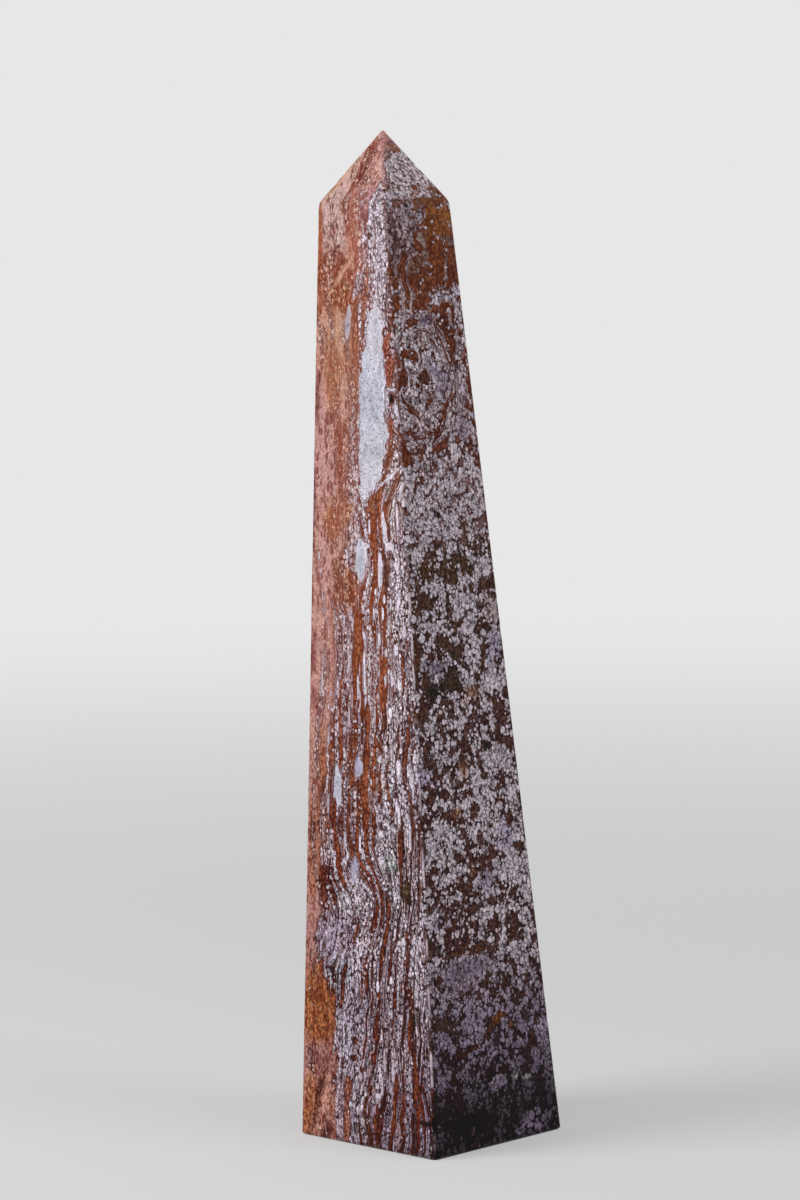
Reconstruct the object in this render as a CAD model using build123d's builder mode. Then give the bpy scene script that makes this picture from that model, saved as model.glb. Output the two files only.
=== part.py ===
"""Desk obelisk: one block of banded orbicular jasper, sawn, lapped and polished.

The block is a tapered four-sided shaft that turns into a low pyramid tip. It is cut by hand, so
the axis leans a little over the foot, one pair of faces is lapped a shade full and the other pair
a shade hollow, and polishing has softened every edge. It stands on its flat sawn foot.

Frame: the origin is the middle of the foot, +Z is up, and sizes are in millimetres.
"""

import os

from build123d import *

# The block's overall sizes
foot_width = 55.7
foot_depth = 55.1
shoulder_width = 27.8
shoulder_depth = 27.5
shaft_height = 278.4
tip_height = 21.6

# How far the shaft's top and the tip stand off the middle of the foot
lean_x = -6.6
lean_y = -6.6

# How far the two X faces swell, and the two Y faces are hollowed, at half the shaft's height
swell = 0.85
hollow = 0.85

# What lapping and polishing take off the edges
shoulder_radius = 6.0
arris_radius = 0.8
foot_bevel = 0.6

# Each elevation: its plane, widths at foot and shoulder, lean, bow of its two sides, and whether
# its slab starts the block or is kept only where it meets the first one
elevations = (
    (Plane.XZ, foot_width, shoulder_width, lean_x, swell, Mode.ADD),
    (Plane.YZ, foot_depth, shoulder_depth, lean_y, -hollow, Mode.INTERSECT),
)
slab_reach = max(foot_width, foot_depth)

with BuildPart() as obelisk:
    # The block is what two long slabs have in common, one sawn to each elevation
    for plane, foot, shoulder, lean, bow, mode in elevations:
        mid_height = shaft_height / 2
        mid_centre = lean / 2
        mid_reach = (foot + shoulder) / 4 + bow
        with BuildSketch(plane) as elevation:
            with BuildLine():
                sawn_foot = Line((-foot / 2, 0), (foot / 2, 0))
                right_side = ThreePointArc(
                    sawn_foot @ 1,
                    (mid_centre + mid_reach, mid_height),
                    (lean + shoulder / 2, shaft_height),
                )
                left_side = ThreePointArc(
                    sawn_foot @ 0,
                    (mid_centre - mid_reach, mid_height),
                    (lean - shoulder / 2, shaft_height),
                )
                Polyline(right_side @ 1, (lean, shaft_height + tip_height), left_side @ 1)
            make_face()
            shoulders = elevation.vertices().group_by(Axis.Y)[1]
            fillet(shoulders, shoulder_radius)
        extrude(amount=slab_reach, both=True, mode=mode)

    # The four arrises run unbroken from the foot, over the soft shoulder, to the tip
    arrises = obelisk.edges().filter_by(lambda edge: edge.bounding_box().size.Z > arris_radius)
    fillet(arrises, arris_radius)

    # A narrow bevel keeps the foot's edge from chipping
    foot_edges = obelisk.edges().group_by(Axis.Z)[0]
    chamfer(foot_edges, foot_bevel)

obelisk.part.label = "obelisk"

os.makedirs("parts", exist_ok=True)
export_step(obelisk.part, "parts/obelisk.step")
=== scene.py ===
"""Desk obelisk in banded orbicular jasper: the polished block, the camera, the floor and the lights.

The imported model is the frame. Everything is in metres, +Z up, with the origin in the middle of
the obelisk's foot.
"""

import math

import bpy
import numpy as np
from mathutils import Matrix, Vector


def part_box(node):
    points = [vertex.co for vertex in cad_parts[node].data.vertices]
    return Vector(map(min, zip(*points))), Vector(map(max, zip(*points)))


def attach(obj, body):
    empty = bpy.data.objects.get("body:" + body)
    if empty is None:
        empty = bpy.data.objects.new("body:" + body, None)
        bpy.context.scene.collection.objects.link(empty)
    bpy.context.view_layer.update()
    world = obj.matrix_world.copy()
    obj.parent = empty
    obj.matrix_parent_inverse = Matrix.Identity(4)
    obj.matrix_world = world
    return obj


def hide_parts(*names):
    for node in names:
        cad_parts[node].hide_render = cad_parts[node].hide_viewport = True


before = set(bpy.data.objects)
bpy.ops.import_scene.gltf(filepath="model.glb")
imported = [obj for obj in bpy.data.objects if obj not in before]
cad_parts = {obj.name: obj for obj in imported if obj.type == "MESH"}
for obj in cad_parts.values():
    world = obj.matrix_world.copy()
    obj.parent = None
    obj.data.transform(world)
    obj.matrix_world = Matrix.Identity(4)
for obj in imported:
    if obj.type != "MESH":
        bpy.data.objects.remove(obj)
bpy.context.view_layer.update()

# --------------------------------------------------------------------
# The block: one piece of orbicular jasper, sawn to a tapered four-sided shaft with a pyramid tip.
# It is lapped by hand, so its sides bow a little, and polishing has softened its shoulders and
# arrises. It stands on its own sawn foot, and nothing is fixed to it.

# Sizes in millimetres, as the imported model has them
MM = 0.001
foot_width, foot_depth = 55.7, 55.1
shoulder_width, shoulder_depth = 27.8, 27.5
shaft_height, tip_height = 278.4, 21.6
lean = np.array([-6.6, -6.6])
swell, hollow = 0.85, 0.85  # how far two faces stand full, and two hollow, at half height
shoulder_softness = 0.21
arris_radius = 0.8
foot_bevel = 0.6

# The four faces: size at the foot and at the shoulder, axis, bow, and the way each one looks
faces = {
    "front": (foot_depth, shoulder_depth, 1, -hollow, -1),
    "back": (foot_depth, shoulder_depth, 1, -hollow, 1),
    "left": (foot_width, shoulder_width, 0, swell, -1),
    "side": (foot_width, shoulder_width, 0, swell, 1),
}


def side_line(foot, shoulder, axis, bow, way, z):
    """How far one side stands along its axis at each height, in millimetres.

    The shaft's side runs straight from foot to shoulder, plus a bow that is full at half height
    and nothing at both ends. The tip's side runs from the shoulder to the tip's point. The side
    is the soft minimum of the two, (a + b - sqrt((a - b)^2 + 4 s^2)) / 2, measured outwards, so
    the shoulder turns over gently.
    """
    up = z / shaft_height
    shaft = way * lean[axis] * up + foot / 2 + (shoulder - foot) / 2 * up + 4 * bow * up * (1 - up)
    tip = way * lean[axis] + shoulder / 2 * (1 - (z - shaft_height) / tip_height)
    return way * (shaft + tip - np.sqrt((shaft - tip) ** 2 + 4 * shoulder_softness**2)) / 2


def ring_template(face_steps, arris_steps):
    """One turn round a rounded square, as four numbers for each point.

    The first two say which side of the square the point's centre is on, from 0 to 1 across X and
    across Y. The last two are the unit direction in which the arris radius is added to it. One
    column close to each end of a side keeps the face flat up to its arris.
    """
    across = np.concatenate([[0, 0.006], np.linspace(0, 1, face_steps)[1:-1], [0.994]])
    turn = np.linspace(0, math.pi / 2, arris_steps, endpoint=False)
    flat = np.column_stack([across, 0 * across, 0 * across, 0 * across - 1])
    arris = np.column_stack([0 * turn + 1, 0 * turn, np.sin(turn), -np.cos(turn)])
    sides = [np.vstack([flat, arris])]
    for _ in range(3):
        fx, fy, nx, ny = sides[-1].T
        sides.append(np.column_stack([1 - fy, fx, -ny, nx]))
    return np.vstack(sides), len(sides[0])


def block_surface(heights, template):
    """The block's skin as a grid: one row of points for each height, one column round the ring.

    Each row is the rounded square between the four side lines at that height. Its corners keep
    the arris radius until the square is too small for it, close under the tip.
    """
    z = heights[:, None]
    front, back, left, right = (side_line(*face, z) for face in faces.values())
    inset = foot_bevel * np.clip(1 - z / foot_bevel, 0, 1)
    left, right, front, back = left + inset, right - inset, front + inset, back - inset
    radius = np.minimum(arris_radius, 0.45 * (right - left))
    fx, fy, nx, ny = template.T
    x = left + radius + (right - left - 2 * radius) * fx + radius * nx
    y = front + radius + (back - front - 2 * radius) * fy + radius * ny
    return np.stack([x, y, z + 0 * x], axis=-1)


def lapping_waves(points, outward):
    """Sink the skin by up to 0.05 mm in long shallow waves, as hand lapping leaves it.

    The depth is the mean of three slow sine waves that cross at different slants.
    """
    x, y, z = points[..., 0], points[..., 1], points[..., 2]
    wave = np.sin(z / 17 + x / 9) + np.sin(z / 29 - y / 11 + 2) + np.sin(z / 11 + (x + y) / 23 + 4)
    return points - outward * (0.025 + wave[..., None] / 120)


# Nicks along the arrises: which arris (0 front left, 1 front right, 2 back right, 3 back left),
# height, length and depth
nicks = [
    (0, 283.5, 2.2, 0.3), (0, 270, 1.6, 0.14), (0, 96, 2.4, 0.12),
    (1, 280.2, 1.8, 0.12), (1, 1.6, 3, 0.55), (1, 207, 1.5, 0.1),
    (2, 288.6, 1.9, 0.28), (2, 151, 2, 0.12), (2, 34, 1.7, 0.16),
    (3, 240, 1.8, 0.15), (3, 74, 2.6, 0.18),
]


def chip_arrises(points, outward, arris_columns):
    """Knock shallow nicks out of the arrises.

    Each nick is a bell in the distance from its middle on the arris, and sinks the skin by its
    depth there.
    """
    for corner, height, length, depth in nicks:
        row = np.abs(points[:, 0, 2] - height).argmin()
        middle = points[row, arris_columns[corner]]
        away = np.linalg.norm((points - middle) / (length / 2), axis=-1)
        points = points - outward * (depth * np.exp(-(away**2)))[..., None]
    return points


def build_block():
    """The closed skin: rings from the middle of the foot, up the shaft and in to the tip."""
    template, per_side = ring_template(face_steps=46, arris_steps=7)
    below, above, summit = shaft_height - 5, shaft_height + 5, shaft_height + tip_height - 1
    runs = [(0, foot_bevel, 4), (foot_bevel, below, 330), (below, above, 24), (above, summit, 34)]
    heights = np.unique(np.concatenate([np.linspace(*run) for run in runs]))
    skin = block_surface(heights, template)
    outward = np.zeros_like(skin)
    outward[..., :2] = template[:, 2:]
    # Each quarter of the ring ends in an arris of seven columns: here is one near its middle
    arris_columns = [per_side * quarter - 3 for quarter in (4, 1, 2, 3)]
    skin = chip_arrises(lapping_waves(skin, outward), outward, arris_columns)
    top = np.array([*lean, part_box("obelisk")[1].z / MM])

    columns = skin.shape[1]
    foot_rings = 12
    shrink = np.linspace(0, 1, foot_rings + 1)[1:-1, None, None]
    sole = (skin[0] * shrink) * [1, 1, 0]
    # Two more rings round the tip over, each with a share of the last ring's width and drop
    width_kept, drop_kept = np.array([0.8, 0.5]), np.array([0.42, 0.12])
    cap = top + (skin[-1] - top) * width_kept[:, None, None] * [1, 1, 0]
    cap[..., 2] += (skin[-1, 0, 2] - top[2]) * drop_kept[:, None]
    rings = np.concatenate([sole, skin, cap])
    points = np.vstack([rings.reshape(-1, 3), [[0, 0, 0]], [top]])

    row_start = np.arange(len(rings) - 1)[:, None] * columns
    here = np.arange(columns)
    after = (here + 1) % columns
    low, low_after = row_start + here, row_start + after
    walls = np.stack([low, low_after, low_after + columns, low + columns], axis=-1).reshape(-1, 4)
    last = (len(rings) - 1) * columns
    foot_pole, tip_pole = len(points) - 2, len(points) - 1
    foot_fan = np.stack([after, here, np.full(columns, foot_pole)], axis=-1)
    tip_fan = np.stack([last + here, last + after, np.full(columns, tip_pole)], axis=-1)

    mesh = bpy.data.meshes.new("jasper_block")
    mesh.from_pydata(points * MM, [], walls.tolist() + foot_fan.tolist() + tip_fan.tolist())
    mesh.shade_smooth()
    mesh.update()
    return mesh


def shade(colour):
    """A colour as a painter reads it, 0 to 255, turned into the light that the shader sums."""
    return [((part / 255 + 0.055) / 1.055) ** 2.4 for part in colour]


def ease(value, low, high):
    """0 at low, 1 at high and a smooth step between; low may be the greater."""
    t = np.clip((value - low) / (high - low), 0, 1)
    return t * t * (3 - 2 * t)


def ripple(points, size, seed):
    """A smooth irregular field of about -1 to 1: the sum of six slanted sine waves near one size."""
    rng = np.random.default_rng(seed)
    ways = rng.normal(size=(6, 3))
    ways /= np.linalg.norm(ways, axis=1, keepdims=True) * size * rng.uniform(0.7, 1.5, (6, 1))
    return np.sin(points @ ways.T * 2 * math.pi + rng.uniform(0, 6.3, 6)).sum(-1) / 2.4


# How the layers bend: the place on the front (across, height), the reach of the bend both ways,
# and how far the layers move to the right there
bends = [
    ((0, 73), (15, 12), 7.5),
    ((9, 222), (8, 18), 10),
    ((9, 184), (7, 11), -3.5),
    ((-12, 55), (7, 16), 1.5),
    ((6, 128), (9, 14), 1.2),
    ((-2, 12), (14, 12), -2.5),
]

# Swirls, where the layers close round a middle: face, middle, reach
swirls = [
    ("side", (-11, 224), 17),
    ("side", (1, 19), 9),
    ("side", (-6, 260), 11),
    ("back", (3, 120), 12),
]


def lay_strata(points):
    """The place of each point in the unbent stone: its layer, then its two places along the layer.

    The layer is the distance across X, plus two slow ripples, less the bends, each of which is a
    bell in both directions. In a swirl it turns into the distance from the swirl's middle.
    """
    x, y, z = points.T
    layer = x + 1.3 * ripple(points, 38, 1) + 0.4 * ripple(points, 15, 2)
    for (across, height), (reach, rise), shift in bends:
        layer -= shift * np.exp(-(((x - across) / reach) ** 2) - ((z - height) / rise) ** 2)
    for face, (across, height), reach in swirls:
        depth, along = face_place(points, face)
        away = np.sqrt((along - across) ** 2 + ((z - height) * 0.75) ** 2 + depth**2)
        turned = np.arctan2(z - height, along - across)
        share = 0.85 * ease(away, reach, reach * 0.5)
        around = away * 0.9 + 1.8 * np.sin(2 * turned) + 2.2 * ripple(points, 13, 8)
        layer = layer + share * (around + 12 - layer)
    return np.column_stack([layer, y + 1.5 * ripple(points, 30, 3), z + 2 * ripple(points, 30, 4)])


def face_place(points, face):
    """How far each point lies behind the line of one face, and its place across that face."""
    foot, shoulder, axis, bow, way = faces[face]
    line = side_line(foot, shoulder, axis, bow, way, points[:, 2])
    return way * (line - points[:, axis]), points[:, 1 - axis]


# The stone's named colours
PEACH, CREAM, SAND, TAN = (200, 152, 138), (204, 172, 166), (206, 160, 132), (172, 132, 106)
OCHRE, ORANGE, RUST, RED = (186, 132, 102), (168, 100, 62), (148, 80, 50), (160, 90, 72)
# The last colour on the next line is the pale tint of the arrises: a painted highlight, partly wear
PINK, ROSE, BLUSH, ARRIS_HIGHLIGHT_AND_WEAR = (196, 142, 138), (192, 140, 148), (210, 182, 180), (206, 188, 194)
WHITE, LILAC, LAVENDER, DIM = (228, 216, 230), (205, 203, 219), (180, 172, 198), (150, 134, 156)
SILVER, GREY, DUSK = (226, 214, 224), (172, 156, 168), (104, 84, 104)
OLIVE, BLACK = (74, 54, 30), (18, 10, 12)

# Bodies that show in the faces: place across and up the face, half sizes, tilt in degrees, and
# what the stone is like there. Rich is how much of it is pale orbs, from -3 to 3. Smooth is clear
# chalcedony, layered lies in sheets and not in clumps, seamy and lined have dark seams and lines,
# and gloom is how dark those are. A later body lies over an earlier one.
body_depth = 0.9
bodies = []


def bodies_in(face):
    """Return the function that lists a body in this face."""

    def add(across, height, wide, tall, tilt=0, **changes):
        bodies.append((face, (across, height), (wide, tall), tilt, changes))

    return add


on_front, on_side, on_back, on_left = map(bodies_in, ("front", "side", "back", "left"))
strand = bodies_in("strand")
# Smooth chalcedony, as a lens, as a clearer mass and as a thin wisp
lens, clear, wisp = dict(smooth=0.9, rich=2), dict(smooth=1, rich=2.5), dict(smooth=0.75, rich=2)

# Front, the broad patches that others lie over
on_front(-15, 275, 9, 12, rich=-2.2, ground=(203, 169, 163), seamy=0.3, gloom=0.8)
on_front(4.4, 265, 3.8, 22, 3, rich=2.3, smooth=0.24, orb=(216, 204, 216))
on_front(9.5, 194, 6, 14, rich=0.5, smooth=0.24, lined=0.9, gloom=0.75, orb=(236, 222, 228))
on_front(9, 150, 7, 28, smooth=0.14, rich=0.55, lined=0.75, gloom=0.95, orb=(246, 234, 243))
on_front(-21, 146, 5, 26, rich=-1.2, seamy=0.44, gloom=0.5, ground=(206, 160, 148), orb=(210, 184, 188))
strand(-13, 149, 2.2, 13, rich=0.2, ground=(172, 112, 90), orb=(214, 192, 198), smooth=0.15)
strand(-8.6, 142, 2.6, 17, rich=0.5, ground=(168, 104, 80), orb=(214, 196, 206), smooth=0.2)
strand(-5, 153, 1.6, 11, rich=0.3, ground=(168, 104, 78), orb=(210, 190, 196), smooth=0.2)
on_front(11, 78, 8, 19, smooth=0.1, rich=0.25, lined=0.9, gloom=1, orb=(230, 218, 230))
on_front(-1, 108, 6, 13, 6, rich=-0.5, ground=(166, 90, 58), orb=(214, 188, 186))
on_front(-14, 61, 8, 9, rich=1.2, smooth=0.25, orb=(196, 180, 200))
on_front(12, 27, 15, 33, rich=0.3, smooth=0.12, ground=(106, 44, 28), orb=(220, 204, 218))
on_front(1, 150, 9, 24, rich=-0.15, smooth=0.16, ground=(160, 92, 58), gloom=0.45, orb=(226, 218, 226))
on_front(12, 2, 15, 20, rich=0.1, orb=(184, 168, 186))
on_front(-22, 39, 7, 11, rich=-2.6, ground=(176, 108, 66), seamy=0.75)
on_front(-20, 9, 8, 15, rich=-2.1, ground=(208, 150, 132), orb=BLUSH, seamy=0.55)
# Front, tip and shoulder
on_front(-16.5, 284, 1.6, 7, -30, rich=-2.4, ground=SAND, seamy=0.4)
on_front(-1.5, 289, 4, 6, 25, rich=-1.6, seamy=0.4, ground=(212, 164, 155), orb=(224, 190, 184))
on_front(-1.6, 272, 1.7, 12, -8, rich=-1.6, ground=ROSE, seamy=0.6)
on_front(-5.6, 273, 3.4, 13, 6, rich=0.1, ground=(196, 130, 114), orb=(218, 180, 170), gloom=0.1)
on_front(-9, 278, 1.2, 6, rich=0.5, ground=(158, 82, 60), orb=(210, 170, 160), gloom=0.2)
on_front(-8, 294, 2.2, 2.6, rich=0.2, ground=(142, 58, 34), orb=(214, 172, 154), gloom=0.2)
on_front(-6.8, 287.5, 2.6, 4, rich=0.4, ground=(142, 60, 36), orb=(214, 174, 158), gloom=0.2)
on_front(-10.6, 289, 1.2, 3.4, 15, rich=0.4, ground=(146, 62, 38), orb=(214, 176, 160), gloom=0.2)
on_front(-15, 257, 8.5, 8, rich=0, layered=0.5, ground=(152, 82, 64), orb=(212, 166, 150), gloom=0.1)
on_front(-14, 270, 3.6, 8, seamy=0.75, gloom=0.9)
on_front(-19.6, 262, 0.9, 18, -1, rich=-0.8, ground=(158, 82, 48), orb=(206, 150, 116), gloom=0.2)
on_front(-9.5, 250, 6, 5.5, rich=0.2, layered=0.6, ground=(160, 90, 58), orb=(212, 162, 132), gloom=0.1)
on_front(-9.6, 259, 0.8, 4.8, -40, rich=-2.4, ground=(204, 156, 134), seamy=0.4)
on_front(-23.9, 168, 0.5, 34, -1.5, rich=-2.2, ground=(164, 96, 66), seamy=0.9)
on_front(-21.8, 235, 0.8, 36, -2.6, rich=-2.2, ground=ORANGE)
# Front, upper shaft
on_front(-15, 240, 7, 6, rich=-1.2, ground=(204, 160, 138), orb=BLUSH)
on_front(-15, 228, 4.4, 10, rich=-0.3, ground=(190, 132, 102), orb=(210, 160, 132), gloom=0.1)
on_front(-19.3, 196, 3.2, 30, 1.5, rich=-2.2, ground=(206, 158, 153), seamy=0.34)
on_front(-12, 206, 2.4, 14, 3, rich=0, ground=(178, 114, 94), orb=(204, 150, 134), gloom=0.15)
on_front(-6.3, 205, 2.7, 27, rich=0.4, ground=(180, 124, 110), orb=(208, 184, 188), gloom=0.3)
on_front(-5.4, 235, 2, 14, rich=0.1, ground=(182, 122, 94), orb=(206, 162, 142), gloom=0.2)
on_front(-14, 186, 6.5, 6.5, rich=-0.2, ground=(186, 128, 100), orb=(208, 158, 136), gloom=0.15)
on_front(-21, 221, 0.9, 8, rich=-1.8, ground=(146, 92, 90))
on_front(-22.9, 190, 0.8, 11, -2, rich=-1.8, ground=(140, 88, 92))
on_front(-8.2, 243.5, 1.2, 6, -6, **lens, orb=(196, 178, 188))
on_front(1.6, 222, 5.1, 18, **clear, orb=(202, 201, 218))
on_front(2.8, 239, 3, 9, **clear, orb=(218, 213, 224))
on_front(1.9, 204.5, 4.2, 13, -20, **clear, orb=(215, 211, 223))
on_front(-1.8, 203, 2.1, 12, 3, **clear, orb=(215, 211, 223))
on_front(8.2, 233, 1.8, 8, 3, rich=-2.5, ground=RED)
on_front(8.8, 212, 0.8, 7, rich=-2.5, ground=RED)
on_front(9.3, 221.6, 0.9, 1.3, rich=-3, ground=BLACK)
on_front(3.4, 186, 2.9, 9, -8, rich=-1, ground=(172, 98, 64))
on_front(6.6, 182, 0.9, 5.5, 10, **lens, orb=WHITE)
# Front, middle of the shaft
on_front(-8.5, 166, 6, 8, rich=-0.2, ground=(168, 102, 72), orb=(202, 152, 132), gloom=0.3)
on_front(-3.7, 174, 2, 6.5, **lens, orb=LILAC)
on_front(4.6, 171, 1.1, 5, **lens, orb=WHITE)
on_front(12, 163, 0.9, 7, rich=2.5, orb=WHITE)
on_front(-23.8, 145, 1.6, 6, -8, rich=-2, ground=(154, 92, 90))
on_front(-22.6, 131, 1.3, 6, 10, rich=-2, ground=(158, 98, 96))
on_front(-3, 124, 3.2, 11, rich=-0.7, ground=RUST)
on_front(-13, 106, 1.5, 6.5, 4, **lens, orb=LILAC)
on_front(-4.5, 113, 1.7, 3.2, **lens, orb=LAVENDER)
on_front(2.5, 102, 1, 3.5, 18, rich=2.5, orb=WHITE)
on_front(16, 101, 1.6, 2.2, rich=-0.5, ground=OLIVE)
on_front(9, 84.6, 2.2, 2.6, rich=2.2, orb=(202, 204, 204))
on_front(15.2, 77.5, 2.8, 3.4, rich=-1, ground=(44, 26, 22), gloom=1)
on_front(15.2, 77.5, 1.4, 1.7, rich=-1, ground=(96, 74, 42))
on_front(13.6, 90, 1.3, 5, rich=-0.6, ground=(66, 34, 28), gloom=1)
on_front(-19.5, 108, 1.8, 17, 2, rich=-1.2, ground=(176, 112, 84), orb=BLUSH, seamy=0.7)
on_front(-23.5, 88, 1.8, 18, rich=-1.6, ground=(184, 118, 92), seamy=0.7)
on_front(-16.5, 77, 4.5, 6.5, rich=-0.9, ground=(120, 46, 16), seamy=1, gloom=0.85)
on_front(-6, 82, 1.3, 4, -8, **lens, orb=LAVENDER)
on_front(-7, 72, 4, 4.5, rich=1.8, orb=WHITE)
# Front, foot
on_front(-11.3, 50, 5, 5, rich=-0.1, ground=(112, 48, 34), orb=LILAC)
on_front(-9.2, 30, 3.6, 12.5, rich=3, smooth=0.34, orb=(210, 200, 218))
on_front(-5.5, 42, 4.2, 9, rich=1.6, smooth=0.3, orb=(206, 192, 214))
on_front(-10.5, 23, 1.4, 3, rich=-0.6, smooth=0, ground=(168, 132, 116))
on_front(-5.8, 31.3, 1.1, 1.1, rich=-2, smooth=0, ground=(64, 34, 22))
on_front(-6.1, 26, 1.1, 0.9, rich=-2, smooth=0, ground=(64, 34, 22))
on_front(-11.7, 13, 1.9, 15, 2, rich=2.2, smooth=0.3, orb=(206, 180, 194))
on_front(-5.2, 8, 1.6, 11, rich=1.6, smooth=0.4, orb=(206, 196, 214))
on_front(0.6, 9, 3.2, 12, rich=-0.5, ground=(140, 76, 42))
on_front(14.5, 11, 2.4, 13, -6, rich=-0.7, ground=(132, 64, 38))
on_front(22, 14, 5, 13, rich=0.1, smooth=0.12, orb=(200, 184, 208))
on_front(-20, 24, 6, 4, rich=-1.4, ground=(192, 138, 134), orb=BLUSH, seamy=0.6)
on_front(-8.4, 8, 1.2, 12, rich=-2.4, ground=(184, 122, 104))
on_front(-20.6, 12, 1.3, 14, -17, rich=-2, ground=(122, 66, 50), seamy=0.9)
on_front(-25.3, 7, 2.4, 10, -10, rich=-2, ground=(188, 118, 80), seamy=0.75)
on_front(-17, 3, 2.2, 4, -20, rich=-1.4, ground=(106, 44, 40))
on_front(21, 41, 2.8, 2.4, rich=-0.4, ground=OLIVE)
on_front(25, 31, 2.2, 2.2, rich=-0.4, ground=OLIVE)
on_front(23, 10.5, 4.5, 0.7, 3, rich=-1.2, ground=BLACK, orb=DIM)
# Side, tip and shoulder
on_side(-6.6, 286.4, 11, 7, rich=2.1, smooth=0.3, layered=0.6, orb=(238, 222, 232))
on_side(-6.6, 298, 5, 4.5, rich=-1.2, layered=1, ground=PINK)
on_side(-13.6, 290, 1.6, 9, -32, rich=-1, layered=1, ground=PINK)
on_side(-6, 279, 14, 0.7, rich=-1, layered=1, ground=(122, 76, 44))
on_side(-6, 262, 16, 16, rich=-1.5, layered=1, ground=(130, 73, 43), gloom=0.5)
on_side(-16, 269, 6, 9, rich=0.3, layered=0.3, ground=(96, 56, 46), orb=(184, 160, 168))
on_side(-9, 275, 4, 3.6, rich=1, layered=0, orb=GREY)
on_side(-6.5, 268, 1.3, 5, 25, rich=1.2, smooth=0.5, orb=(150, 124, 118))
on_side(2.2, 273, 4.6, 5, rich=-1.8, layered=0, ground=(150, 94, 48))
on_side(-1, 268, 2.6, 5, rich=-1.8, layered=0, ground=(138, 82, 40))
on_side(6.3, 268, 2, 4, rich=0.8, smooth=0.42, orb=(160, 132, 132))
on_side(-9, 261, 5.5, 2.4, 25, rich=1, smooth=0.45, orb=(158, 126, 110))
on_side(5, 256.5, 5, 3.2, rich=-1.6, ground=(122, 66, 40))
on_side(-15.7, 247, 0.5, 7.5, 6, rich=1, smooth=0.8, orb=(170, 138, 132))
on_side(-13, 247.5, 0.45, 7, -7, rich=1, smooth=0.8, orb=(176, 150, 146))
on_side(0.5, 251, 5, 1.8, 4, rich=1.2, layered=0, orb=(206, 196, 212))
on_side(7.2, 251, 2.6, 2.6, rich=1.2, layered=0, orb=(206, 196, 212))
# Side, upper shaft
on_side(-7, 238, 17, 8, rich=0.2, layered=1, smooth=0.12, lined=0.35, ground=(122, 66, 42), orb=SILVER)
on_side(-7, 222, 16, 15, rich=0.5, layered=1, smooth=0.12, lined=0.3, ground=(122, 68, 46), orb=SILVER)
on_side(7, 242, 2.8, 3.6, rich=1.2, layered=0)
on_side(-7, 244, 3.2, 1.8, 8, smooth=0.38, rich=2.6, orb=DIM)
on_side(-6, 230, 1.7, 5, 40, smooth=0.42, rich=3, orb=(184, 172, 194))
on_side(-1.8, 225.5, 3.4, 4.6, -12, smooth=0.46, rich=3, orb=(182, 170, 190))
on_side(-18, 227.5, 3, 2.8, 20, rich=-2.1, ground=(110, 54, 32))
on_side(-9.6, 227.5, 1.9, 2.9, 20, rich=-2.1, ground=(92, 56, 38))
on_side(-14.5, 233.8, 4.8, 1.4, -14, rich=-2, ground=(118, 60, 36))
on_side(-0.4, 219.8, 3, 0.5, 50, rich=-1.8, smooth=0, ground=(122, 62, 38))
on_side(-3.4, 215, 5, 0.55, 60, rich=-2.2, smooth=0, ground=(118, 60, 36))
on_side(-5.6, 212.5, 4.4, 0.5, 66, rich=-2.2, smooth=0, ground=(118, 60, 36))
on_side(-8.6, 219.8, 2.4, 0.6, 38, rich=-1.5, smooth=0, ground=(114, 58, 36))
on_side(-14, 221.2, 2.3, 0.9, 14, rich=-0.8, ground=BLACK)
on_side(4.5, 212.5, 4.5, 4, rich=1.8, layered=0, orb=(180, 164, 178))
on_side(-3, 192, 20, 12.5, rich=1.4, layered=0.25, ground=(124, 72, 54))
on_side(-5.2, 207, 3.4, 1.4, 14, rich=-1.4, ground=(118, 60, 34))
on_side(-19.8, 204.5, 1.4, 3.2, rich=-1.4, ground=(122, 62, 34))
on_side(-9, 188, 2.4, 0.8, -35, rich=-1.6, ground=BLACK)
on_side(8, 184, 3, 1.6, rich=-1.2, ground=(104, 54, 34))
# Side, middle of the shaft: clusters of orbs, single big orbs and bare patches
on_side(-20.8, 161, 1.8, 4, 8, rich=-1.6, ground=(98, 58, 36))
on_side(-22, 146, 1.7, 5, rich=-1.6, ground=(94, 56, 36))
on_side(-22.6, 131, 1.6, 4.5, rich=-1.6, ground=(98, 56, 38))
on_side(-5, 171, 14, 3.5, rich=-0.7, ground=(86, 60, 36))
on_side(-19.7, 173.6, 2.4, 1.5, rich=1.6)
on_side(9.9, 170.7, 3.4, 2.5, rich=1.6)
on_side(-10.5, 167.3, 2.1, 3.2, rich=2.2)
on_side(2.7, 167, 1.6, 1.7, rich=2.4)
on_side(0.2, 160.6, 5.4, 2.4, -12, rich=2.6)
on_side(11.5, 158, 3.6, 6, rich=0.6, orb=(206, 184, 188))
on_side(-9.6, 155.7, 2.6, 2.3, rich=2)
on_side(-16.5, 153.7, 3.4, 2, rich=1.8)
on_side(-7, 152.9, 1.8, 1.4, rich=2)
on_side(0, 154.5, 1.2, 1.3, rich=2.2)
on_side(-1, 151.2, 1.5, 1.5, rich=2)
on_side(-7, 141, 4.5, 6, rich=-0.6, ground=(66, 50, 34))
on_side(-14.5, 136, 3.6, 2.6, rich=-0.9, ground=(34, 30, 18))
on_side(-14.5, 143, 4.4, 1.8, -14, rich=1.2, orb=DIM)
on_side(-3.8, 142, 8.5, 0.9, -44, rich=2.2)
on_side(2, 146.5, 3.8, 3.2, rich=2)
on_side(12, 146, 3.6, 6, rich=1.2, orb=(196, 184, 206))
on_side(9.4, 135.5, 5, 3.8, rich=1.6)
on_side(0.8, 134.3, 2.2, 1.8, rich=0.3, ground=TAN, orb=TAN)
on_side(-3.3, 131.9, 1.8, 1.5, rich=1.6, orb=BLUSH)
on_side(-11, 125, 8, 4, rich=0.6)
on_side(7.9, 114, 4, 2.8, rich=2.2)
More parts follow.
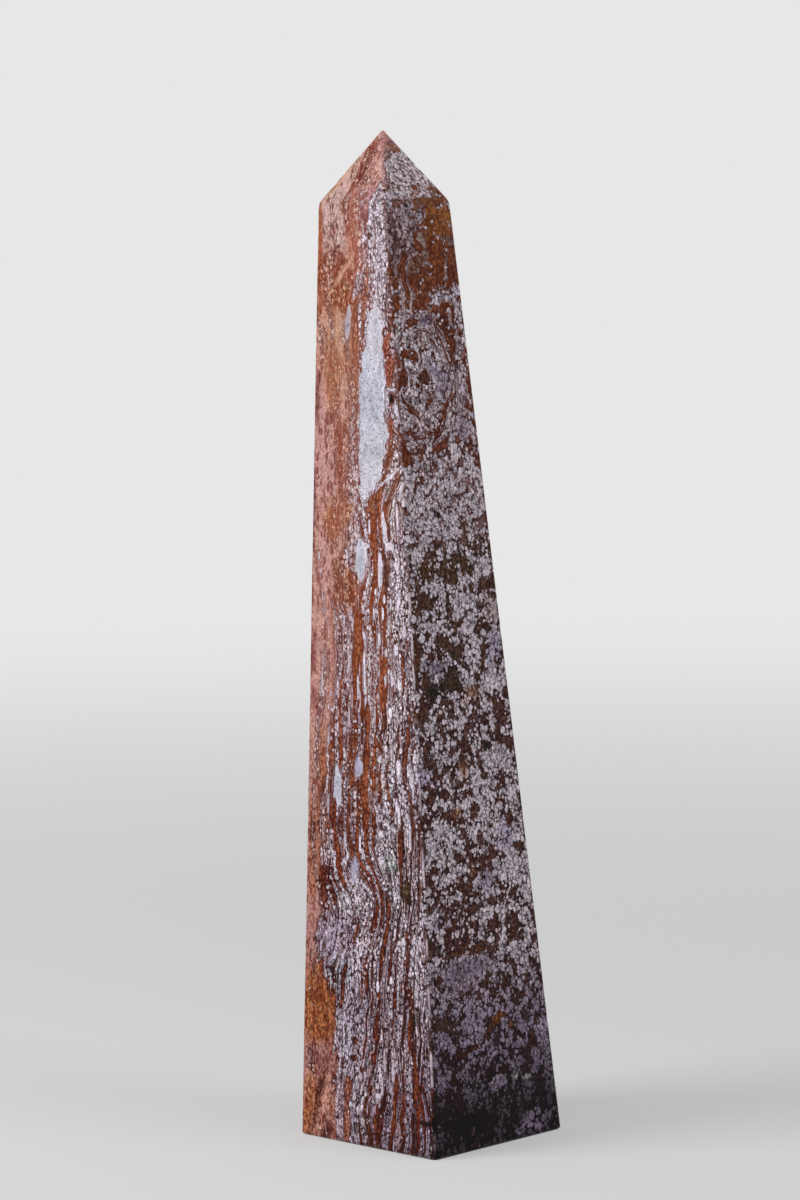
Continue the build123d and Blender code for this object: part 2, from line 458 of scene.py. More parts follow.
on_side(6, 118, 1.5, 1.3, rich=-2, ground=(30, 32, 28))
on_side(13, 112, 3, 2, rich=1.8)
on_side(-21, 111.7, 3, 3.4, rich=1.4, orb=(190, 178, 202))
on_side(-4.9, 112.3, 1.5, 2.6, rich=0.2, ground=TAN, orb=TAN)
on_side(0.9, 107, 5.6, 1.3, rich=2.4)
on_side(-0.6, 98.6, 6.2, 6, rich=1.9)
on_side(-1.8, 100.5, 1.5, 3, rich=-1.6)
on_side(16.2, 101.4, 3.4, 7, rich=1.8)
on_side(-8.8, 99.5, 1.5, 1.4, rich=0.2, ground=TAN, orb=TAN)
on_side(-15.8, 93, 5, 4, rich=1.8)
on_side(-17.2, 87.5, 3.8, 4.2, rich=1.6)
on_side(-9.4, 91, 2.4, 4, rich=1.6)
on_side(3.4, 91.8, 1.4, 1.4, rich=2.2)
on_side(11.1, 91.2, 3.8, 4.6, rich=1.8, orb=(190, 178, 202))
on_side(0.2, 85.2, 6.5, 3, rich=-1.1)
on_side(-6.5, 79, 3.4, 3, rich=-0.9)
on_side(-14.5, 80.3, 1.9, 1.8, rich=2.4)
on_side(13, 82.2, 5.6, 3.2, rich=2)
on_side(17, 78, 4, 4, rich=1.6)
on_side(2, 79, 3.4, 3.8, rich=1.2, orb=(176, 160, 180))
on_side(-4, 82, 0.9, 1.5, rich=0.2, ground=TAN, orb=TAN)
on_side(9.8, 70, 5, 2.2, rich=1.7)
on_side(16.9, 70.2, 4.4, 3.4, rich=1.8)
on_side(-2.4, 66.8, 2, 4.5, rich=2.2)
on_side(-18.4, 68.7, 5, 1.8, rich=1.2, orb=(176, 160, 180))
# Side, foot: dim orbs, brown veins, and darker towards the bottom, near black at the foot
on_side(-4, 59, 11, 1.5, rich=-1.2, ground=(96, 56, 36))
on_side(13, 52, 8, 8, rich=0.9)
on_side(11, 57.2, 2.6, 2.4, rich=2.4)
on_side(-11, 53.4, 12, 3.6, 6, rich=3, orb=(140, 124, 144), gloom=0.6)
on_side(-8, 47.5, 9, 3, rich=1.2, orb=(170, 148, 170))
on_side(6.3, 46.8, 1.3, 1.2, rich=-1.5, ground=OLIVE)
on_side(-21.6, 38, 4, 1.4, rich=-1.2, ground=OLIVE)
on_side(-9.5, 29.6, 6.5, 0.7, 14, rich=-2.2, ground=(84, 48, 26))
on_side(-0.8, 34.5, 4.8, 0.8, 42, rich=-2.2, ground=(84, 46, 26))
on_side(3.6, 37.8, 2.6, 1.2, 10, rich=-2.2, ground=(134, 84, 42))
on_side(7.9, 34.5, 1.8, 0.9, -20, rich=-1, ground=(130, 92, 60))
on_side(12, 31, 5.5, 0.6, -34, rich=-2.2, ground=(40, 20, 18))
on_side(18, 32, 0.7, 5, -16, rich=-2.2, ground=(84, 46, 26))
on_side(21, 32, 2, 2, rich=2.4, orb=(170, 154, 176))
on_side(-18, 21.5, 1, 3.4, -12, rich=-2.2, ground=(50, 24, 16))
on_side(-23, 17.6, 4.6, 0.7, 14, rich=-2.2, ground=(50, 24, 16))
on_side(1, 19, 4.6, 4.8, rich=-2, ground=(26, 14, 14))
on_side(1.1, 18.8, 3, 3.2, rich=1.6, orb=DIM)
on_side(9, 19, 0.9, 1, rich=2.4, orb=(170, 170, 170))
on_side(13.6, 18.2, 1.1, 0.7, rich=2, orb=(160, 164, 158))
on_side(-14, 8.8, 14, 3.2, -7, rich=-2.6, ground=BLACK, orb=DUSK)
on_side(-16, 3.5, 14, 3.5, rich=-0.6, ground=BLACK, orb=(74, 56, 70))
on_side(16, 4.5, 7, 3.4, rich=1, orb=(140, 122, 146))
# Back and left
on_back(4, 210, 3, 18, smooth=1, rich=2, orb=LILAC)
on_back(-8, 150, 3, 12, rich=-1.5, ground=OCHRE)
on_back(10, 60, 4, 12, smooth=0.8, rich=2, orb=LAVENDER)
on_back(-14, 30, 6, 12, rich=-2.2, ground=ORANGE)
on_back(0, 262, 4, 9, rich=-1.5, ground=RED)
on_left(-2, 241, 5, 15, 12, rich=-2, ground=CREAM)
on_left(-5, 176, 2.6, 24, 5, rich=-1.8, ground=ROSE, seamy=0.6)
on_left(6, 120, 7, 14, rich=-2, ground=OCHRE)
on_left(-7, 66, 2.2, 22, 4, rich=0.5, smooth=0.2, orb=(196, 180, 196))
on_left(8, 25, 10, 14, rich=-2.4, ground=ORANGE)

# Strands in the front, and single orbs among them: place, half width, half length and tilt
milky = [
    (9.3, 224.2, 1.3, 0.5), (11.8, 217, 0.6, 3.2), (9.2, 209.5, 0.45, 3.6),
    (8.8, 199, 0.45, 4.8, -42), (13, 195, 0.7, 4, 8), (11.2, 188, 0.4, 5, 10),
    (0.2, 184.5, 0.6, 3, -14), (-1.4, 177, 0.5, 3), (9.2, 178.5, 1.2, 1.6),
    (11, 173, 1.3, 1.3), (12, 163.5, 0.9, 3.8), (5.9, 161.5, 0.35, 4.4),
    (8.7, 160, 0.4, 5.6, 4), (-1.9, 163, 0.3, 4.6, -5), (2.2, 160.5, 0.3, 5.4, 5),
    (3.8, 151.5, 0.5, 2.2), (11, 148.5, 0.8, 2), (6.8, 147.4, 0.8, 1.1),
    (9.5, 140, 0.7, 2.6), (6.1, 139, 0.6, 1.8), (-1.9, 142, 0.6, 5.4),
    (14.4, 154, 0.9, 2.2), (12.4, 138, 0.9, 1.7), (8.4, 130, 0.6, 3),
    (11.8, 114, 1, 3.4), (4.3, 115.8, 0.9, 1.3), (6, 112.5, 0.7, 0.9),
    (1.4, 112.4, 0.5, 1.1), (0.7, 108.8, 0.5, 0.7), (17.4, 110, 0.8, 5, 3),
    (12, 101, 0.6, 3.6), (4.9, 98.2, 0.35, 1.7, -33), (7.2, 96.9, 0.8, 0.8),
    (5.2, 93.5, 1.1, 1.2), (10.4, 95.4, 0.9, 1.1), (16.7, 94, 0.5, 5.6),
    (-9.4, 88, 0.4, 5.4), (-3.4, 88.5, 0.45, 4.4), (5.3, 85.5, 0.7, 0.8),
    (-6.8, 78, 0.4, 3.4, 36), (-0.8, 77, 0.55, 4.4, 28), (5.4, 80, 0.45, 4, 28),
    (9, 50, 0.7, 2.8, -20), (4.2, 48.6, 0.8, 1.8), (4.6, 16, 1, 0.9), (3, 20.4, 0.6, 1),
]
lilac_wisps = [
    (-14.2, 152, 0.3, 5, 2), (-12.6, 138, 0.4, 6, 3), (-10.4, 156, 0.3, 4.5, -4), (-8.8, 144, 0.5, 5, 3),
    (-6.4, 152, 0.35, 6, -2), (-4.6, 137, 0.5, 6.5, -4), (-13.4, 126, 0.35, 4, 5), (-8.2, 128, 0.45, 5, -3),
    (-16.8, 120, 0.3, 5, 3), (-17.5, 95, 0.35, 8, 3), (-14.6, 89, 0.3, 5, 2), (0.3, 62, 0.6, 5, -10),
    (-18.6, 160, 0.35, 6), (-19.4, 139, 0.4, 7, 2), (-16.4, 132, 0.3, 5, -3), (-20.4, 172, 0.3, 5, 2),
    (-4.5, 18, 0.5, 8), (-1.6, 20, 0.4, 7, 2), (6.5, 22, 0.5, 9, 4), (10.5, 24, 0.5, 8, -3),
]
rust_veins = [
    (-2.4, 50, 0.9, 9), (3, 34, 0.5, 13), (6.8, 24, 0.4, 12, 2), (10.4, 44, 0.5, 10),
    (0.4, 24, 0.6, 10), (14.5, 58, 0.45, 12), (7.4, 66, 0.6, 9), (12.6, 86, 0.5, 9),
    (17, 38, 0.4, 10), (11, 14, 0.6, 9), (20, 20, 0.5, 9), (15.8, 122, 0.4, 10),
    (8, 106, 0.4, 8), (13.4, 144, 0.4, 8), (5.4, 54, 0.4, 7), (-4.4, 66, 0.6, 6),
]
for row in rust_veins:
    strand(*row, rich=-1.6, smooth=0, ground=(146, 72, 38))
for row in lilac_wisps:
    strand(*row, **wisp, orb=(204, 186, 198))
for row in milky:
    strand(*row, **wisp, orb=WHITE)


def paint_growth(mesh, points):
    """Store how the stone grew at each point, for the material to read.

    The layers run from peach on the left, through rust, to orb-rich brown on the right, and each
    listed body then changes what it covers. A body's cover is 1 inside its scaled radius and
    eases to 0 just outside it, with an uneven edge. A strand follows the bends of the layers.
    The arrises are painted paler in places, where two faces are less than 0.9 mm away: partly wear, partly
    a painted highlight.
    """
    strata = lay_strata(points)
    layer, z = strata[:, 0], points[:, 2]
    bent = points[:, 0] - layer
    side_depth, _ = face_place(points, "side")
    uneven = ripple(points, 6, 5) + 0.6 * ripple(points, 2.6, 6)

    peach_edge = np.interp(
        z,
        [0, 15, 30, 45, 60, 75, 100, 120, 150, 175, 190, 205, 235, 250, 268, 285],
        [-13, -12.5, -14, -18, -20.5, -21, -21, -17, -15, -9, -5, -4.5, -4.5, -6, -6, -5],
    )
    orb_edge = np.interp(
        z,
        [0, 20, 40, 60, 90, 120, 150, 170, 190, 205, 240, 262, 285],
        [3, 2, 1, 0, 3, 2.5, 4, 6, 5, 7.5, 8, 1.5, 0.5],
    )
    peach = ease(layer - peach_edge + 0.8 * uneven, 2.2, -2.2)
    orb_rich = ease(layer - orb_edge + uneven, -2, 2)
    deep = ease(side_depth, 1.5, 0.4)

    peach_heights = [0, 18, 40, 62, 90, 128, 150, 175, 205, 230, 258, 272, 290]
    peach_shades = [
        PINK, (186, 128, 120), (176, 112, 72), (190, 138, 134), PEACH, (196, 148, 140),
        (188, 138, 136), (204, 160, 146), (202, 158, 150), (206, 158, 138), (192, 134, 114),
        (204, 170, 160), (210, 166, 156),
    ]
    rust_heights = [0, 30, 60, 100, 130, 180, 220, 255, 290]
    rust_shades = [
        (130, 64, 36), (146, 72, 40), (152, 76, 44), (160, 84, 50), (170, 96, 62), (178, 116, 88),
        (188, 134, 106), (186, 126, 106), (208, 162, 148),
    ]
    rich_shades = [(84, 50, 46), (104, 64, 56), (136, 94, 86), (156, 116, 108), (166, 128, 124)]
    # The side's ground at a few heights, darker towards the bottom and near black at the foot
    deep_heights = [0, 12, 32, 50, 80, 120, 150, 175, 200, 235, 262, 280]
    deep_shades = [
        (26, 12, 18), (36, 18, 26), (62, 38, 44), (84, 52, 46), (92, 56, 50), (90, 56, 50),
        (88, 58, 46), (92, 62, 50), (114, 66, 50), (140, 74, 50), (136, 78, 54), (150, 100, 80),
    ]

    def tones(heights, shades):
        """Colours chosen at a few heights, and evenly between them at the rest."""
        columns = zip(*[shade(one) for one in shades])
        return np.column_stack([np.interp(z, heights, column) for column in columns])

    look = {
        "ground": tones(rust_heights, rust_shades),
        "orb": np.tile(shade(WHITE), (len(z), 1)),
        "rich": 0.05 + 0.5 * orb_rich,
        "layered": 1 - deep,
        "smooth": 0 * z,
        "seamy": 0.85 - 0.46 * peach - 0.3 * ease(z, 262, 284),
        "lined": 0.6 + 0.3 * ease(z, 78, 52),
        "gloom": np.interp(z, [70, 110, 150, 290], [1, 0.85, 0.65, 0.6]),
    }

    def turn(name, value, share):
        """Move a trait of the stone towards a value or colour, by a share from 0 to 1."""
        now = look[name]
        share = share if now.ndim == 1 else share[:, None]
        look[name] = now + share * ((shade(value) if isinstance(value, tuple) else value) - now)

    turn("gloom", 0.9, orb_rich * 0.7)
    turn("gloom", 0.85 - 0.2 * ease(z, 160, 195), deep)
    turn("ground", tones([0, 100, 150, 220, 290], rich_shades), 0.7 * orb_rich)
    turn("ground", tones(peach_heights, peach_shades), peach)
    turn("ground", tones(deep_heights, deep_shades), deep)
    turn("orb", (206, 176, 174), peach)
    turn("orb", (216, 203, 215), deep)
    # The side darkens towards the foot: its orbs dim below 66 mm and nearly go out below 34 mm
    turn("orb", DIM, ease(z, 66, 34) * deep)
    look["orb"] = look["orb"] * (1 - 0.78 * deep * ease(z, 34, 8))[:, None]
    turn("rich", -1.9, peach)
    turn("rich", 0.2 * ease(z, 95, 110) - 0.05, deep)
    look["rich"] += deep * (ease(z, 50, 36) * 0.7 - ease(z, 28, 12) * 0.7 + 0.3 * ripple(points, 14, 7))

    # Painted highlight along the arrises, partly wear: a ragged band where two faces are less than 0.9 mm
    # away
    all_depths = [face_place(points, face)[0] for face in faces]
    arris_depth = np.sort(all_depths, axis=0)[1]
    arris_highlight_and_wear = ease(arris_depth, 0.9, 0.3) * ease(ripple(points, 11, 10), -0.7, 0.5)

    for face, (across, height), half, tilt, changes in bodies:
        depth, along = face_place(points, "front" if face == "strand" else face)
        slant = math.radians(tilt)
        step, rise = along - across, z - height
        if face == "strand":
            middle = np.argmin(step**2 + rise**2 + depth**2)
            step = layer - across + bent[middle]
        wide = (step * math.cos(slant) + rise * math.sin(slant)) / half[0]
        tall = (rise * math.cos(slant) - step * math.sin(slant)) / half[1]
        reach = np.sqrt(wide**2 + tall**2 + (depth / body_depth) ** 2)
        fringe = min(0.35, 1.2 / min(half)) if "smooth" in changes else min(0.6, 2 / min(half))
        ragged = 0.1 if "smooth" in changes else 0.25
        cover = ease(reach + ragged * uneven, 1 + fringe, 1 - fringe)
        for name, value in changes.items():
            turn(name, value, cover)

    # The painted highlight on the arrises, partly wear: paler ground and orbs, lighter seams, and smooth
    # pale chalcedony along them below about 190 mm
    turn("ground", ARRIS_HIGHLIGHT_AND_WEAR, 0.45 * arris_highlight_and_wear)
    turn("orb", ARRIS_HIGHLIGHT_AND_WEAR, 0.45 * arris_highlight_and_wear)
    look["gloom"] *= 1 - 0.5 * arris_highlight_and_wear
    look["smooth"] = look["smooth"] + arris_highlight_and_wear * (0.68 * ease(z, 190, 160) - 0.5 * ease(z, 20, 5))

    look["strata"] = strata
    kept_as = {1: ("FLOAT", "value"), 3: ("FLOAT_VECTOR", "vector"), 4: ("FLOAT_COLOR", "color")}

    def store(name, *traits):
        """Keep one or more traits of the stone side by side in one attribute of the mesh."""
        values = np.column_stack([look[trait] for trait in traits])
        kind, field = kept_as[values.shape[1]]
        made = mesh.attributes.new(name, kind, "POINT")
        made.data.foreach_set(field, values.astype(np.float32).ravel())

    store("strata", "strata")
    store("growth", "rich", "layered", "smooth")
    store("ground", "ground", "seamy")
    store("orb", "orb", "gloom")
    store("lined", "lined")


block = bpy.data.objects.new("jasper_block", build_block())
bpy.context.scene.collection.objects.link(block)
skin_points = np.empty((len(block.data.vertices), 3), dtype=np.float32)
block.data.vertices.foreach_get("co", skin_points.ravel())
paint_growth(block.data, skin_points.astype(float) / MM)


class Field:
    """A number, place or colour that varies through the stone: one shader socket.

    Fields add, subtract, multiply and divide as Python numbers do, and each sum adds a Math node.
    """

    tree = None

    def __init__(self, socket):
        self.socket = socket

    @classmethod
    def node(cls, kind, settings=None, sockets=None, out=0):
        """Add a node: make its settings first, then fill or link its sockets."""
        made = cls.tree.nodes.new("ShaderNode" + kind)
        for name, value in (settings or {}).items():
            setattr(made, name, value)
        for key, value in (sockets or {}).items():
            if isinstance(value, Field):
                cls.tree.links.new(value.socket, made.inputs[key])
            else:
                made.inputs[key].default_value = value
        return cls(made.outputs[out]) if made.outputs else None

    @classmethod
    def math(cls, operation, *values, kind="Math"):
        return cls.node(kind, {"operation": operation}, dict(enumerate(values)))

    def __add__(self, other):
        return Field.math("ADD", self, other)

    __radd__ = __add__

    def __sub__(self, other):
        return Field.math("SUBTRACT", self, other)

    def __rsub__(self, other):
        return Field.math("SUBTRACT", other, self)

    def __mul__(self, other):
        return Field.math("MULTIPLY", self, other)

    __rmul__ = __mul__

    def __truediv__(self, other):
        return Field.math("DIVIDE", self, other)

    def __rtruediv__(self, other):
        return Field.math("DIVIDE", other, self)

    def rise(self, low, high):
        """0 below low, 1 above high and a smooth step between; low may be the higher one."""
        limits = {"Value": self, "From Min": low, "From Max": high}
        return Field.node("MapRange", {"interpolation_type": "SMOOTHSTEP"}, limits)

    def near(self, middle, reach):
        """1 at the middle, falling smoothly to 0 a reach away on both sides."""
        return Field.math("ABSOLUTE", self - middle).rise(reach, 0)

    def most(self, other):
        return Field.math("MAXIMUM", self, other)

    def part(self, name):
        """Another output of the node that this field comes from."""
        return Field(self.socket.node.outputs[name])

    def axes(self):
        """The three numbers of a place or colour."""
        split = Field.node("SeparateXYZ", sockets={0: self})
        return split, split.part("Y"), split.part("Z")

    def moved(self, other):
        return Field.math("ADD", self, other, kind="VectorMath")

    def less(self, other):
        return Field.math("SUBTRACT", self, other, kind="VectorMath")

    def times(self, scales):
        return Field.math("MULTIPLY", self, scales, kind="VectorMath")

    def dimmed(self, amount):
        """A colour with all three of its numbers scaled by one amount."""
        return Field.node("VectorMath", {"operation": "SCALE"}, {0: self, "Scale": amount})

    def towards(self, colour, amount):
        """This colour mixed towards another one by an amount from 0 to 1."""
        return Field.node("Mix", {"data_type": "RGBA"}, {0: amount, 6: self, 7: colour}, out=2)


def empty_nodes(owner):
    """Empty the nodes of a material or the world, so that Field adds to them."""
    owner.use_nodes = True
    Field.tree = owner.node_tree
    Field.tree.nodes.clear()


def grain(place, size, detail=1, rough=0.5, offset=0):
    """Cloudy noise from 0 to 1, mostly near 0.5, with lumps of the given size on each axis."""
    scaled = place.times([1 / s for s in size]).moved((offset, offset * 0.7, offset * 1.3))
    sockets = {"Vector": scaled, "Scale": 1, "Detail": detail, "Roughness": rough}
    return Field.node("TexNoise", None, sockets)


def jasper():
    """Polished orbicular jasper: small pale orbs, in layers and in clumps, in a coloured ground."""
    material = bpy.data.materials.new("polished_jasper")
    empty_nodes(material)

    def stored(name):
        return Field.node("Attribute", {"attribute_name": name}).part("Vector")

    # The place in the stone, in millimetres, with a short-range drift over the stored one
    here = Field.node("TexCoord").part("Object").times([1 / MM] * 3)
    drift = grain(here, (6.5, 7, 10), offset=8.7).part("Color").less((0.5, 0.5, 0.5))
    strata = stored("strata").moved(drift.times((3.4, 3, 3)))
    rich, layered, smooth = stored("growth").axes()
    ground, orb = stored("ground"), stored("orb")
    seamy, gloom = ground.part("Alpha"), orb.part("Alpha")
    lined = stored("lined").part("Fac")

    def sheets_at(place):
        """How rich the layers are in pale quartz at a place, from about -1.5 to 1.5."""
        return (grain(place, (1.8, 9, 36), 2, 0.6) - 0.5) * 9

    def growth_at(place):
        """How rich in orbs the stone is at a place, by layers or by clumps: 0 is the orbs' edge."""
        clumps = (grain(place, (3.6, 3.6, 3.6), 1.5, offset=4.2) - 0.5) * 11
        return clumps + layered * (sheets_at(place) - clumps) + rich

    def orb_cells(across, hold):
        """Cells of one size: the distance to the middle, two random numbers and the growth.

        Each cell takes its growth nearly whole from its middle, so that it is an orb or is not.
        """
        squeeze = (1.2, 1.02, 0.88)
        cells = Field.node("TexVoronoi", None, {"Vector": uneven.times(squeeze), "Scale": 1 / across})
        to_middle = cells.part("Position").times([1 / s for s in squeeze]).less(uneven)
        chance, tint, _ = cells.part("Color").axes()
        growth = growth_at(strata.moved(to_middle.dimmed(1 - hold * layered)))
        return cells.part("Distance"), chance, tint, growth + (chance - 0.5) * 1.2

    wobble = grain(here, (1.3, 1.3, 1.5), offset=5.2).part("Color").less((0.5, 0.5, 0.5))
    uneven = here.moved(wobble.times((0.8, 0.8, 0.8)))
    grit = grain(here, (0.5, 0.46, 0.52), 2, 0.65, 1.9) - 0.5
    granule = Field.node("TexVoronoi", None, {"Vector": uneven, "Scale": 1 / 0.52}).part("Distance")
    glint = (0.42 - granule) * 0.9 + grit * 1.6
    veil = grain(strata, (3, 5, 7), 2, 0.6, 2.2) - 0.5
    streak = (grain(strata, (1.8, 9, 30), 2, 0.6, 7.7) - 0.5) * 9
    threads = (grain(strata, (1, 8, 26), offset=6.6) - 0.5) * 9
    lines = (grain(strata, (0.95, 7, 24), offset=9.1) - 0.5) * 9
    fine, fine_chance, fine_tint, fine_growth = orb_cells(across=0.95, hold=0.55)
    coarse, chance, tint, growth = orb_cells(across=1.7, hold=0.3)
    fine_growth = fine_growth + fine_chance.rise(0.9, 0.94) * 0.9

    # Ground: fine grains with darker seams, streaked along the layers
    dark = ground.times((0.6, 0.36, 0.28)).towards(ground.times((0.14, 0.05, 0.04)), gloom)
    rusty = ground.times((0.74, 0.51, 0.42))
    rust_share = (streak * layered + veil * 6).rise(0, 1.3)
    streaky = seamy.rise(0.3, 0.85)
    stone = ground.towards(rusty, rust_share * 0.9 * streaky)
    bleached = ground.times((1.25, 1.32, 1.4))
    stone = stone.towards(bleached, threads.rise(0.2, 1.3) * streaky * layered * 0.8)
    grains = (fine_chance - 0.5) * 0.6 + (chance - 0.5) * 0.3
    stone = stone.dimmed(1.06 + grains * seamy + grit * 1.6)
    net = (veil * 9 + threads * 0.5).rise(0.5, 1.3)
    stone = stone.towards(dark, fine.rise(0.42, 0.66) * seamy.most(net * 0.85))
    blots = Field.node("TexVoronoi", None, {"Vector": uneven.times((1, 1, 0.5)), "Scale": 1 / 1.5})
    blot_chance, _, _ = blots.part("Color").axes()
    blot = blots.part("Distance").rise(0.5, 0.34) * (blot_chance + veil * 3).rise(0.56, 0.64)
    plain = (rich + 0.4 - seamy * 0.6).rise(-0.6, -1.4)
    stone = stone.towards(ground.times((0.42, 0.2, 0.18)), blot * plain * 0.9)
    ticks = (veil * 9 + (fine_chance - 0.5) * 2).rise(0.4, 1) * threads.near(0.4, 0.7)
    stone = stone.towards(dark, ticks * layered * 0.85)

    # Strands: smooth dim chalcedony drawn out along the layers, with dark edges
    sheet = sheets_at(strata) + rich
    warm = orb.times((0.84, 0.64, 0.56))
    silk = orb.times((0.84, 0.77, 0.84)).towards(warm, streak.rise(-0.2, 1) * 0.8)
    silk = silk.dimmed(0.92 + glint * 0.7 + threads * 0.28)
    stone = stone.towards(dark, sheet.near(-0.42, 0.42) * layered * 0.95)
    stone = stone.towards(silk, sheet.rise(-0.22, 0) * layered)
    fine_growth = fine_growth - smooth * 2.5
    ball = fine / (0.4 + fine_growth.rise(-0.3, 1.6) * 0.24)
    sunk = ball.rise(1.1, 0.5) * fine_growth.rise(-1.5, -0.1)
    stone = stone.towards(orb.dimmed(0.36), sunk * 0.6)
    stone = stone.towards(dark, fine_growth.near(-0.1, 0.3) * 0.7)

    # Small orbs, each a ball cut by the skin, with a dim gap round it
    bright = fine_growth.rise(0, 1.5).most(fine_chance.rise(0.7, 0.9) * 0.8)
    pale = orb.towards(warm, fine_tint.rise(0.35, 0.9) * (1 - bright * 0.75))
    lit = 0.52 + layered * 0.05 + bright * 0.38 + fine_tint * 0.46 + glint
    pale = pale.dimmed(lit - ball.rise(0.2, 1.1) * 0.16)
    gap = dark.towards(orb.dimmed(0.22), fine_growth.rise(0.8, 2.6))
    small = gap.towards(pale, ball.rise(1.14, 0.78))
    stone = stone.towards(small, fine_growth.rise(0.02, 0.22))

    # Large orbs over them, rounder and paler, with a thin dark rim
    reach = coarse / (0.25 + tint * 0.17 + growth.rise(0.2, 1.6) * 0.12)
    large_share = (growth - layered * (0.05 + lined * 0.5 + rich * 0.3)).rise(0.05, 0.25)
    stone = stone.towards(dark, reach.near(1.1, 0.24) * large_share * 0.85)
    large = orb.dimmed(1.06 + (tint - 0.5) * 0.5 + glint - fine.rise(0.4, 0.7) * 0.36)
    stone = stone.towards(large, reach.rise(1.06, 0.92) * large_share)
    stone = stone.towards(dark, lines.near(0, 0.6) * layered * lined * rich.rise(-1.2, 0))

    # Big single orbs here and there in the clumps, round and grainy, with a dark rim
    big, big_chance, big_tint, big_growth = orb_cells(across=3.1, hold=0.2)
    span = big / (0.27 + big_tint * 0.17)
    big_share = big_chance.rise(0.55, 0.6) * (big_growth + 0.35).rise(0, 0.3) * (1 - layered)
    stone = stone.towards(dark, span.near(1.12, 0.2) * big_share * 0.9)
    lit = 1.02 + (big_tint - 0.5) * 0.4 + glint * 1.1 - fine.rise(0.38, 0.7) * 0.5
    stone = stone.towards(orb.dimmed(lit - span * 0.12), span.rise(1.04, 0.9) * big_share)

    # Lenses of smooth chalcedony with fine specks
    specks = grain(here, (0.6, 0.6, 0.7), offset=4.4)
    glassy = orb.dimmed(0.96 + veil * 1.2 + grit * 1.2)
    glassy = glassy.towards(orb.dimmed(0.3), (specks - 0.5).rise(0.09, 0.16) * 0.8)
    cover = smooth + veil * 0.45
    stone = stone.towards(dark, cover.near(0.45, 0.07) * 0.7)
    stone = stone.towards(glassy, cover.rise(0.47, 0.53))

    # The polish: large orbs stand a hair proud, and seams are a little duller
    rough = 0.28 + fine.rise(0.42, 0.75) * 0.08
    proud = reach.rise(1.06, 0.92) * large_share
    relief = Field.node("Bump", None, {"Height": proud, "Strength": 0.2, "Distance": 0.04 * MM})
    skin = {"Base Color": stone, "Roughness": rough, "Normal": relief}
    shader = Field.node("BsdfPrincipled", None, skin | {"IOR": 1.54, "Specular IOR Level": 0.09})
    Field.node("OutputMaterial", None, {"Surface": shader})
    return material


block.data.materials.append(jasper())
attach(block, "root")
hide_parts("obelisk")

# --------------------------------------------------------------------
# The camera: it stands low in front of one arris, about 1.3 metres away, with a long lens, and
# aims a little to one side of the block's middle. Distances are in millimetres.

azimuth, elevation, roll = math.radians(44.28), math.radians(5.79), math.radians(-1.01)
distance, aim_right, aim_up = 1292.8, -6.65, 159.86

level = math.cos(elevation)
back = Vector((math.sin(azimuth) * level, -math.cos(azimuth) * level, math.sin(elevation)))
right = Vector((math.cos(azimuth), math.sin(azimuth), 0))
above = back.cross(right)
camera_data = bpy.data.cameras.new("camera")
camera_data.sensor_width = 36
camera_data.lens = 129
camera = bpy.data.objects.new("camera", camera_data)
rolled_right = right * math.cos(roll) + above * math.sin(roll)
rolled_up = above * math.cos(roll) - right * math.sin(roll)
turn = Matrix((rolled_right, rolled_up, back)).transposed().to_4x4()
place = (back * distance + right * aim_right + above * aim_up) * MM
camera.matrix_world = Matrix.Translation(place) @ turn
bpy.context.scene.collection.objects.link(camera)
bpy.context.scene.camera = camera

# --------------------------------------------------------------------
# The floor: a wide disc painted matt and pale, which fades into the backdrop's own white before
# its edge and keeps the block's shadow.

floor_radius = 9
backdrop_white = (0.8, 0.8, 0.8, 1)


def floor_disc():
    """A flat disc: rings of points whose radius grows as the square of the ring's number."""
    rings, spokes = 40, 96
    radius = floor_radius * (np.arange(1, rings + 1) / rings) ** 2
    angle = np.linspace(0, 2 * math.pi, spokes, endpoint=False)
    spoke = np.column_stack([np.cos(angle), np.sin(angle), 0 * angle])
    points = np.vstack([(radius[:, None, None] * spoke).reshape(-1, 3), [[0, 0, 0]]])
    step = np.arange(spokes)
    after = (step + 1) % spokes
    start = np.arange(rings - 1)[:, None] * spokes
    bands = np.stack([start + step, start + step + spokes, start + after + spokes, start + after], -1)
    middle = np.stack([np.full(spokes, rings * spokes), step, after], -1)
    mesh = bpy.data.meshes.new("floor")
    mesh.from_pydata(points, [], bands.reshape(-1, 4).tolist() + middle.tolist())
    mesh.update()
    return mesh


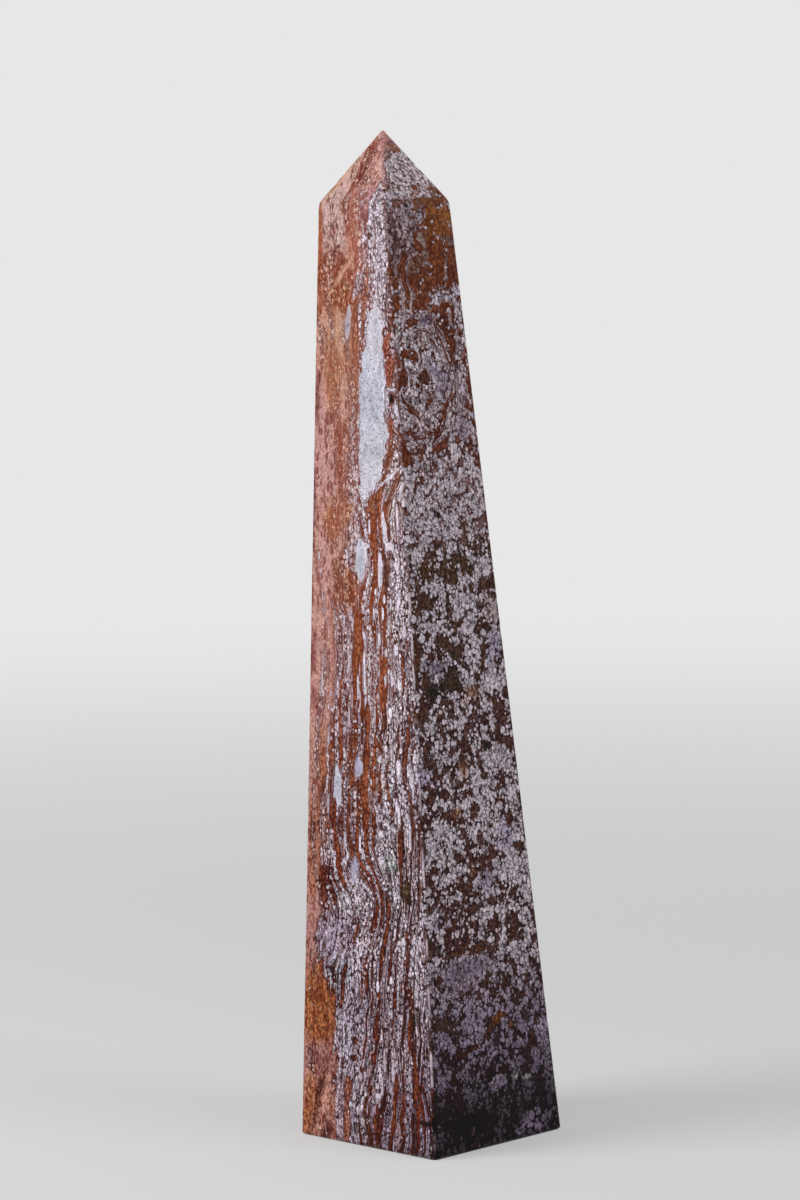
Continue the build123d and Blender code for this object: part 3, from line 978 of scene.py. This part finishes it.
def looked_at():
    """1 on rays from the camera, and on those that gloss or glass sends on; 0 on all others."""
    path = Field.node("LightPath")
    glossy, through = path.part("Is Glossy Ray"), path.part("Is Transmission Ray")
    return path.part("Is Camera Ray").most(glossy).most(through)


def floor_paint():
    """Matt pale paint that turns, far from the object, into the backdrop's plain white."""
    material = bpy.data.materials.new("floor_paint")
    empty_nodes(material)
    place = Field.node("TexCoord").part("Object")
    reach = Field.node("VectorMath", {"operation": "LENGTH"}, {0: place}, out=1)
    paint = Field.node("BsdfDiffuse", None, {"Color": (0.72, 0.72, 0.72, 1)})
    glow = Field.node("Emission", None, {"Color": backdrop_white, "Strength": 1})
    glowing = (reach.rise(0.1, 1.5) * 0.6 + 0.4) * looked_at()
    blend = Field.node("MixShader", None, {0: glowing, 1: paint, 2: glow})
    Field.node("OutputMaterial", None, {"Surface": blend})
    return material


floor = bpy.data.objects.new("floor", floor_disc())
floor.data.materials.append(floor_paint())
bpy.context.scene.collection.objects.link(floor)

# --------------------------------------------------------------------
# The light: a large soft key lamp on the left, a fill lamp high on the right, and an even white
# backdrop that adds a little light from all round.

lit_spot = Vector((0, 0, 0.2))


def soft_lamp(name, place, size, watts):
    """A square area lamp, turned to the lit spot, two thirds of the way up the block."""
    lamp = bpy.data.lights.new(name, "AREA")
    lamp.size = size
    lamp.energy = watts
    holder = bpy.data.objects.new(name, lamp)
    place = Vector(place)
    turn = (place - lit_spot).to_track_quat("Z", "Y").to_matrix().to_4x4()
    holder.matrix_world = Matrix.Translation(place) @ turn
    bpy.context.scene.collection.objects.link(holder)


soft_lamp("key", place=(-0.33, -0.66, 0.62), size=0.45, watts=4.9)
soft_lamp("fill", place=(1, 0.25, 0.85), size=0.6, watts=3.9)

world = bpy.data.worlds.new("backdrop")
bpy.context.scene.world = world
empty_nodes(world)
ambient = Field.node("Background", None, {"Color": (1, 1, 1, 1), "Strength": 0.32})
backdrop = Field.node("Background", None, {"Color": backdrop_white, "Strength": 1})
sky = Field.node("MixShader", None, {0: looked_at(), 1: ambient, 2: backdrop})
Field.node("OutputWorld", None, {"Surface": sky})

bpy.context.scene.view_settings.view_transform = "Standard"
